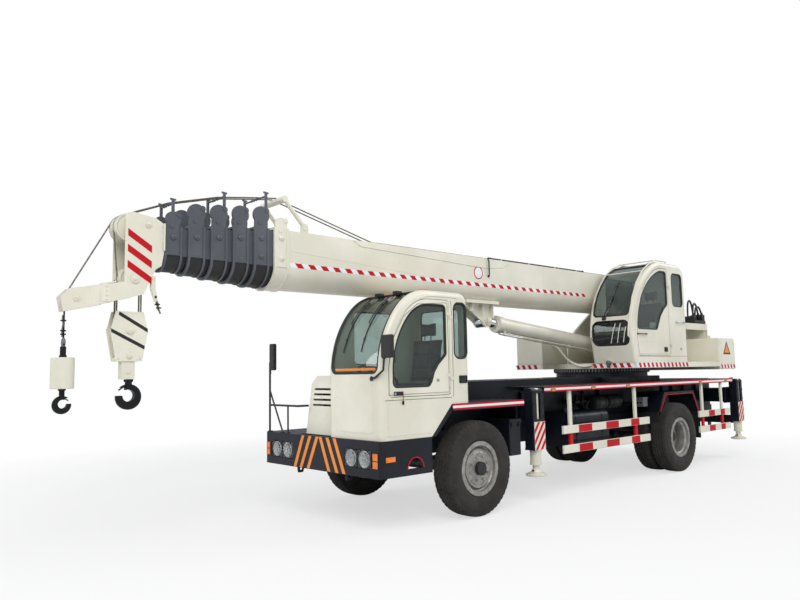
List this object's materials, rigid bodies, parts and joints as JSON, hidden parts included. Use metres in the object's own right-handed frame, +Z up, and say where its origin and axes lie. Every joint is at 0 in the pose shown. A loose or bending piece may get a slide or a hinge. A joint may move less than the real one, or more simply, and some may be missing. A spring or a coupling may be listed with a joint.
{
  "type": "mobile crane",
  "caption": "Truck crane with offset half cab, slewing operator's cab, nested telescopic boom, luffing cylinder, hook block, ball hook and outriggers.",
  "frame": {"origin": "bottom centre of the whole crane's box, on the ground", "axes": "+X forward along the boom, +Y to the crane's left, +Z up"},
  "size_m": [10.985, 2.308, 3.391],
  "materials": {
    "white_paint": "gloss",
    "grey_paint": "satin",
    "navy_paint": "gloss",
    "dark_metal": "satin",
    "grey_metal": "satin",
    "rim_steel": "satin",
    "tyre": "matte",
    "glass": "polished",
    "lamp_plastic": "polished",
    "chrome": "polished",
    "seat_vinyl": "satin",
    "black_plastic": "satin",
    "red_white_paint": "gloss"
  },
  "bodies": {
    "carrier": {"chassis_frame": "navy_paint", "front_axle": "dark_metal", "rear_axle": "dark_metal", "front_bumper": "navy_paint", "headlamps": "lamp_plastic", "deck": "navy_paint", "side_guards": "red_white_paint", "mudguards": "navy_paint", "engine": "dark_metal", "propshaft": "dark_metal", "side_tanks": "grey_metal", "battery_boxes": "dark_metal", "handrail": "dark_metal", "mirrors": "black_plastic", "driver_cab": "white_paint", "driver_cab_glass": "glass", "driver_seat": "seat_vinyl", "steering": "black_plastic", "engine_hood": "white_paint"},
    "knuckle_left": {"knuckle_left": "dark_metal"},
    "knuckle_right": {"knuckle_right": "dark_metal"},
    "wheel_front_left": {"front_tyre_left": "tyre", "front_rim_left": "rim_steel"},
    "wheel_front_right": {"front_tyre_right": "tyre", "front_rim_right": "rim_steel"},
    "wheel_rear_left": {"rear_tyres_left": "tyre", "rear_rims_left": "rim_steel"},
    "wheel_rear_right": {"rear_tyres_right": "tyre", "rear_rims_right": "rim_steel"},
    "driver_door": {"driver_door": "white_paint", "driver_door_glass": "glass"},
    "superstructure": {"turntable": "white_paint", "operator_cab": "white_paint", "operator_cab_glass": "glass", "operator_seat": "seat_vinyl", "side_locker": "white_paint", "counterweight": "white_paint", "winches": "dark_metal", "hydraulic_lines": "black_plastic"},
    "operator_door": {"operator_door": "white_paint", "operator_door_glass": "glass"},
    "luff_barrel": {"luff_barrel": "white_paint"},
    "luff_rod": {"luff_rod": "chrome"},
    "boom_base": {"boom_base": "white_paint"},
    "hook_block": {"hook_block": "white_paint"},
    "aux_hook": {"aux_hook": "dark_metal"},
    "outrigger_beam_front_left": {"outrigger_beam_front_left": "navy_paint"},
    "outrigger_jack_front_left": {"outrigger_jack_front_left": "white_paint"},
    "outrigger_beam_front_right": {"outrigger_beam_front_right": "navy_paint"},
    "outrigger_jack_front_right": {"outrigger_jack_front_right": "white_paint"},
    "outrigger_beam_rear_left": {"outrigger_beam_rear_left": "navy_paint"},
    "outrigger_jack_rear_left": {"outrigger_jack_rear_left": "white_paint"},
    "outrigger_beam_rear_right": {"outrigger_beam_rear_right": "navy_paint"},
    "outrigger_jack_rear_right": {"outrigger_jack_rear_right": "white_paint"},
    "boom_section_2": {"boom_section_2": "grey_paint"},
    "boom_section_3": {"boom_section_3": "grey_paint"},
    "boom_section_4": {"boom_section_4": "grey_paint"},
    "boom_section_5": {"boom_section_5": "grey_paint"},
    "boom_section_6": {"boom_section_6": "grey_paint", "boom_head": "white_paint"}
  },
  "joints": [
    {"name": "steer_left", "type": "hinge", "parent": "carrier", "child": "knuckle_left", "pos_m": [1.4575, 0.77, 0.51], "axis": [0, 0, 1], "range_deg": [-35, 35]},
    {"name": "steer_right", "type": "hinge", "parent": "carrier", "child": "knuckle_right", "pos_m": [1.4575, -0.77, 0.51], "axis": [0, 0, 1], "range_deg": [-35, 35]},
    {"name": "roll_front_left", "type": "hinge", "parent": "knuckle_left", "child": "wheel_front_left", "pos_m": [1.4575, 0.975, 0.51], "axis": [0, 1, 0], "continuous": true},
    {"name": "roll_front_right", "type": "hinge", "parent": "knuckle_right", "child": "wheel_front_right", "pos_m": [1.4575, -0.975, 0.51], "axis": [0, 1, 0], "continuous": true},
    {"name": "roll_rear_left", "type": "hinge", "parent": "carrier", "child": "wheel_rear_left", "pos_m": [-3.0325, 0.8425, 0.51], "axis": [0, 1, 0], "continuous": true},
    {"name": "roll_rear_right", "type": "hinge", "parent": "carrier", "child": "wheel_rear_right", "pos_m": [-3.0325, -0.8425, 0.51], "axis": [0, 1, 0], "continuous": true},
    {"name": "driver_door_swing", "type": "hinge", "parent": "carrier", "child": "driver_door", "pos_m": [1.8295, 1.04, 1.8], "axis": [0, 0, 1], "range_deg": [0, 70]},
    {"name": "beam_front_left", "type": "slide", "parent": "carrier", "child": "outrigger_beam_front_left", "axis": [0, 1, 0], "range_m": [0, 1.35]},
    {"name": "jack_front_left", "type": "slide", "parent": "outrigger_beam_front_left", "child": "outrigger_jack_front_left", "axis": [0, 0, -1], "range_m": [0, 0.3]},
    {"name": "beam_front_right", "type": "slide", "parent": "carrier", "child": "outrigger_beam_front_right", "axis": [0, -1, 0], "range_m": [0, 1.35]},
    {"name": "jack_front_right", "type": "slide", "parent": "outrigger_beam_front_right", "child": "outrigger_jack_front_right", "axis": [0, 0, -1], "range_m": [0, 0.3]},
    {"name": "beam_rear_left", "type": "slide", "parent": "carrier", "child": "outrigger_beam_rear_left", "axis": [0, 1, 0], "range_m": [0, 1.35]},
    {"name": "jack_rear_left", "type": "slide", "parent": "outrigger_beam_rear_left", "child": "outrigger_jack_rear_left", "axis": [0, 0, -1], "range_m": [0, 0.3]},
    {"name": "beam_rear_right", "type": "slide", "parent": "carrier", "child": "outrigger_beam_rear_right", "axis": [0, -1, 0], "range_m": [0, 1.35]},
    {"name": "jack_rear_right", "type": "slide", "parent": "outrigger_beam_rear_right", "child": "outrigger_jack_rear_right", "axis": [0, 0, -1], "range_m": [0, 0.3]},
    {"name": "slew", "type": "hinge", "parent": "carrier", "child": "superstructure", "pos_m": [-2.6925, 0, 1.555], "axis": [0, 0, 1], "continuous": true},
    {"name": "operator_door_swing", "type": "hinge", "parent": "superstructure", "child": "operator_door", "pos_m": [-3.0425, 1.03, 2.3], "axis": [0, 0, 1], "range_deg": [0, 70]},
    {"name": "luff", "type": "hinge", "parent": "superstructure", "child": "boom_base", "pos_m": [-3.9925, 0, 2.722], "axis": [0, -1, 0], "range_deg": [0, 75]},
    {"name": "luff_barrel_turn", "type": "hinge", "parent": "superstructure", "child": "luff_barrel", "pos_m": [-2.8425, 0, 1.9], "axis": [0, -1, 0], "range_deg": [0, 79.5]},
    {"name": "luff_rod_slide", "type": "slide", "parent": "luff_barrel", "child": "luff_rod", "axis": [0.9944, 0, 0.1055], "range_m": [0, 1.7054]},
    {"name": "extend_2", "type": "slide", "parent": "boom_base", "child": "boom_section_2", "axis": [1, 0, 0], "range_m": [0, 4.7]},
    {"name": "extend_3", "type": "slide", "parent": "boom_section_2", "child": "boom_section_3", "axis": [1, 0, 0], "range_m": [0, 4.7]},
    {"name": "extend_4", "type": "slide", "parent": "boom_section_3", "child": "boom_section_4", "axis": [1, 0, 0], "range_m": [0, 4.7]},
    {"name": "extend_5", "type": "slide", "parent": "boom_section_4", "child": "boom_section_5", "axis": [1, 0, 0], "range_m": [0, 4.7]},
    {"name": "extend_6", "type": "slide", "parent": "boom_section_5", "child": "boom_section_6", "axis": [1, 0, 0], "range_m": [0, 4.7]},
    {"name": "main_hook_swing", "type": "hinge", "parent": "boom_section_6", "child": "hook_block", "pos_m": [4.8695, 0, 2.42], "axis": [0, -1, 0], "range_deg": [-75.5, 0.5]},
    {"name": "aux_hook_swing", "type": "hinge", "parent": "boom_section_6", "child": "aux_hook", "pos_m": [5.3257, 0, 2.235], "axis": [0, -1, 0], "range_deg": [-75.5, 0.5]}
  ],
  "couplings": [
    {"joint": "steer_right", "follows": "steer_left", "ratio": 1},
    {"joint": "luff_barrel_turn", "follows": "luff", "ratio": 1.053},
    {"joint": "luff_rod_slide", "follows": "luff", "m_per_rad": 1.2997},
    {"joint": "main_hook_swing", "follows": "luff", "ratio": -1},
    {"joint": "aux_hook_swing", "follows": "luff", "ratio": -1},
    {"joint": "extend_3", "follows": "extend_2", "ratio": 1},
    {"joint": "extend_4", "follows": "extend_2", "ratio": 1},
    {"joint": "extend_5", "follows": "extend_2", "ratio": 1},
    {"joint": "extend_6", "follows": "extend_2", "ratio": 1}
  ]
}
